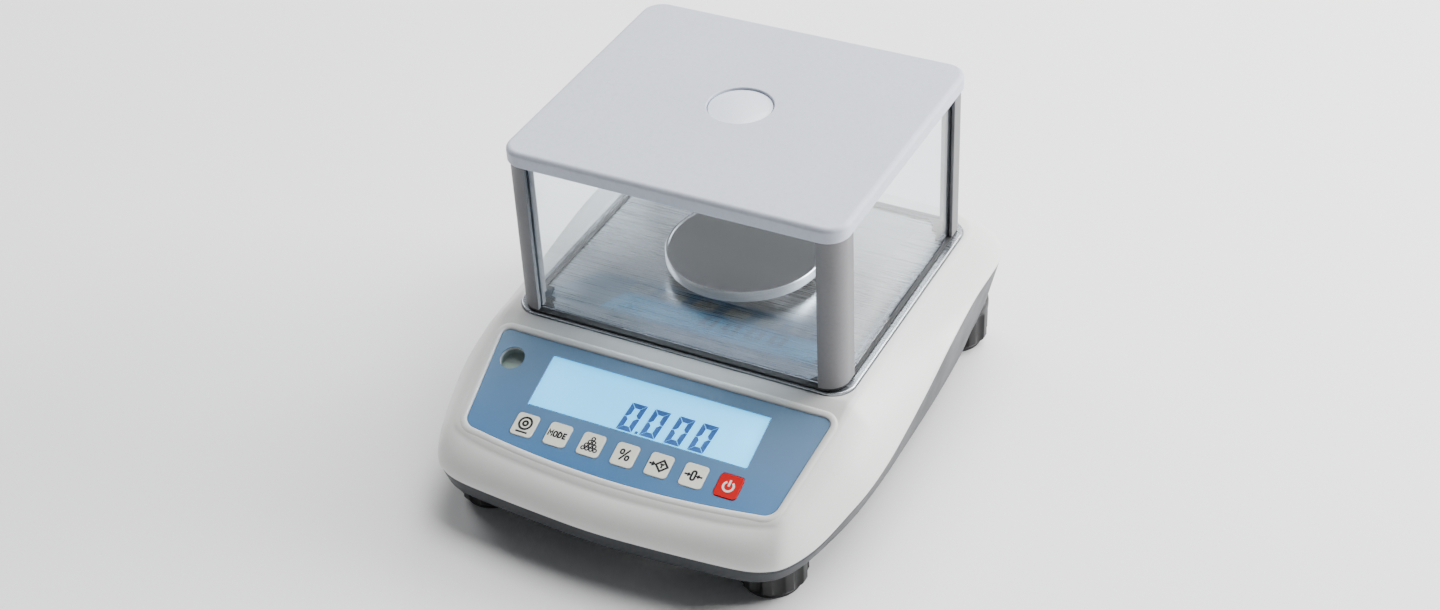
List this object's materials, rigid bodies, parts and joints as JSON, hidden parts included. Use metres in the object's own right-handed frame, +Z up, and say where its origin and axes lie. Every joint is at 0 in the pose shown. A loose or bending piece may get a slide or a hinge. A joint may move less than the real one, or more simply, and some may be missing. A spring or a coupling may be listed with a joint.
{
  "type": "precision balance",
  "caption": "Bench precision balance with a glass draft shield and lift-off lid, round pan, sloping keypad with display, spirit level and screw feet.",
  "frame": {"origin": "on the bench plane under the feet, at the middle of the balance's bounding box", "axes": "+X to the right and +Y to the back as seen by the person who reads the display, +Z up"},
  "size_m": [0.2228, 0.265, 0.1629],
  "materials": {
    "case_white": "satin, fine moulded grain",
    "case_dark": "satin slate grey",
    "lid_grey": "fine leather grain",
    "post_grey": "fine leather grain",
    "plug_pale": "smooth",
    "shield_glass": "clear",
    "rubber": "matt black",
    "tray_steel": "brushed from left to right",
    "pan_steel": "polished",
    "aluminium": "machined",
    "fastener_steel": "zinc plated",
    "keypad_film": "satin printed film",
    "lens_clear": "clear window",
    "lcd_screen": "lit pale blue",
    "key_ivory": "satin",
    "key_red": "satin",
    "circuit_board": "solder mask",
    "ribbon_grey": "flat cable",
    "battery_wrap": "shrink wrap",
    "vial_fluid": "tinted fluid in a clear vial",
    "vial_cup": "satin",
    "foot_plastic": "satin black",
    "connector_black": "satin black",
    "connector_nickel": "nickel plated"
  },
  "bodies": {
    "case": {"base_plate": "aluminium", "battery": "battery_wrap", "battery_door": "case_dark", "cell_spacer": "aluminium", "dc_jack": "connector_black", "display_board": "circuit_board", "display_lens": "lens_clear", "display_ribbon": "ribbon_grey", "housing_screw_1": "fastener_steel", "housing_screw_2": "fastener_steel", "housing_screw_3": "fastener_steel", "housing_screw_4": "fastener_steel", "keypad_overlay": "keypad_film", "lcd_module": "lcd_screen", "level_cup": "vial_cup", "level_vial": "vial_fluid", "load_cell": "aluminium", "lower_housing": "case_dark", "main_board": "circuit_board", "serial_port": "connector_nickel", "tray_plate": "tray_steel", "upper_housing": "case_white"},
    "draft_shield": {"post_front_left": "post_grey", "post_front_right": "post_grey", "post_rear_left": "post_grey", "post_rear_right": "post_grey", "pane_front": "shield_glass", "pane_rear": "shield_glass", "pane_left": "shield_glass", "pane_right": "shield_glass", "base_gasket": "rubber"},
    "lid": {"windshield_lid": "lid_grey"},
    "plug": {"lid_plug": "plug_pale"},
    "weighing_stage": {"load_arm": "aluminium", "pan_support": "aluminium", "cell_bolt_1": "fastener_steel", "cell_bolt_2": "fastener_steel"},
    "pan": {"weighing_pan": "pan_steel"},
    "key_calibrate": {"key_calibrate": "key_ivory"},
    "key_mode": {"key_mode": "key_ivory"},
    "key_count": {"key_count": "key_ivory"},
    "key_percent": {"key_percent": "key_ivory"},
    "key_tare": {"key_tare": "key_ivory"},
    "key_zero": {"key_zero": "key_ivory"},
    "key_power": {"key_power": "key_red"},
    "foot_front_left": {"foot_pad_front_left": "rubber"},
    "knob_front_left": {"foot_knob_front_left": "foot_plastic", "foot_stud_front_left": "fastener_steel"},
    "foot_front_right": {"foot_pad_front_right": "rubber"},
    "knob_front_right": {"foot_knob_front_right": "foot_plastic", "foot_stud_front_right": "fastener_steel"},
    "foot_rear_left": {"foot_pad_rear_left": "rubber"},
    "knob_rear_left": {"foot_knob_rear_left": "foot_plastic", "foot_stud_rear_left": "fastener_steel"},
    "foot_rear_right": {"foot_pad_rear_right": "rubber"},
    "knob_rear_right": {"foot_knob_rear_right": "foot_plastic", "foot_stud_rear_right": "fastener_steel"}
  },
  "joints": [
    {"name": "shield_lift", "type": "slide", "parent": "case", "child": "draft_shield", "axis": [0, 0, 1], "range_m": [0, 0.12]},
    {"name": "lid_lift", "type": "slide", "parent": "draft_shield", "child": "lid", "axis": [0, 0, 1], "range_m": [0, 0.06]},
    {"name": "plug_lift", "type": "slide", "parent": "lid", "child": "plug", "axis": [0, 0, 1], "range_m": [0, 0.03]},
    {"name": "weighing_travel", "type": "slide", "parent": "case", "child": "weighing_stage", "axis": [0, 0, -1], "range_m": [0, 0.0002], "stiffness_N_per_m": 5000, "springref_m": -0.0003},
    {"name": "pan_lift", "type": "slide", "parent": "weighing_stage", "child": "pan", "axis": [0, 0, 1], "range_m": [0, 0.05]},
    {"name": "press_calibrate", "type": "slide", "parent": "case", "child": "key_calibrate", "axis": [0, 0.3428, -0.9394], "range_m": [0, 0.0003], "stiffness_N_per_m": 400, "springref_m": -0.0001},
    {"name": "press_mode", "type": "slide", "parent": "case", "child": "key_mode", "axis": [0, 0.3428, -0.9394], "range_m": [0, 0.0003], "stiffness_N_per_m": 400, "springref_m": -0.0001},
    {"name": "press_count", "type": "slide", "parent": "case", "child": "key_count", "axis": [0, 0.3428, -0.9394], "range_m": [0, 0.0003], "stiffness_N_per_m": 400, "springref_m": -0.0001},
    {"name": "press_percent", "type": "slide", "parent": "case", "child": "key_percent", "axis": [0, 0.3428, -0.9394], "range_m": [0, 0.0003], "stiffness_N_per_m": 400, "springref_m": -0.0001},
    {"name": "press_tare", "type": "slide", "parent": "case", "child": "key_tare", "axis": [0, 0.3428, -0.9394], "range_m": [0, 0.0003], "stiffness_N_per_m": 400, "springref_m": -0.0001},
    {"name": "press_zero", "type": "slide", "parent": "case", "child": "key_zero", "axis": [0, 0.3428, -0.9394], "range_m": [0, 0.0003], "stiffness_N_per_m": 400, "springref_m": -0.0001},
    {"name": "press_power", "type": "slide", "parent": "case", "child": "key_power", "axis": [0, 0.3428, -0.9394], "range_m": [0, 0.0003], "stiffness_N_per_m": 400, "springref_m": -0.0001},
    {"name": "foot_height_front_left", "type": "slide", "parent": "case", "child": "foot_front_left", "axis": [0, 0, -1], "range_m": [0, 0.006]},
    {"name": "foot_turn_front_left", "type": "hinge", "parent": "foot_front_left", "child": "knob_front_left", "pos_m": [-0.0754, -0.0985, 0.015], "axis": [0, 0, -1], "range_deg": [0, 1725]},
    {"name": "foot_height_front_right", "type": "slide", "parent": "case", "child": "foot_front_right", "axis": [0, 0, -1], "range_m": [0, 0.006]},
    {"name": "foot_turn_front_right", "type": "hinge", "parent": "foot_front_right", "child": "knob_front_right", "pos_m": [0.0754, -0.0985, 0.015], "axis": [0, 0, -1], "range_deg": [0, 1725]},
    {"name": "foot_height_rear_left", "type": "slide", "parent": "case", "child": "foot_rear_left", "axis": [0, 0, -1], "range_m": [0, 0.006]},
    {"name": "foot_turn_rear_left", "type": "hinge", "parent": "foot_rear_left", "child": "knob_rear_left", "pos_m": [-0.084, 0.105, 0.015], "axis": [0, 0, -1], "range_deg": [0, 1725]},
    {"name": "foot_height_rear_right", "type": "slide", "parent": "case", "child": "foot_rear_right", "axis": [0, 0, -1], "range_m": [0, 0.006]},
    {"name": "foot_turn_rear_right", "type": "hinge", "parent": "foot_rear_right", "child": "knob_rear_right", "pos_m": [0.084, 0.105, 0.015], "axis": [0, 0, -1], "range_deg": [0, 1725]}
  ],
  "couplings": [
    {"joint": "foot_height_front_left", "follows": "foot_turn_front_left", "m_per_rad": 0.00019894},
    {"joint": "foot_height_front_right", "follows": "foot_turn_front_right", "m_per_rad": 0.00019894},
    {"joint": "foot_height_rear_left", "follows": "foot_turn_rear_left", "m_per_rad": 0.00019894},
    {"joint": "foot_height_rear_right", "follows": "foot_turn_rear_right", "m_per_rad": 0.00019894}
  ]
}
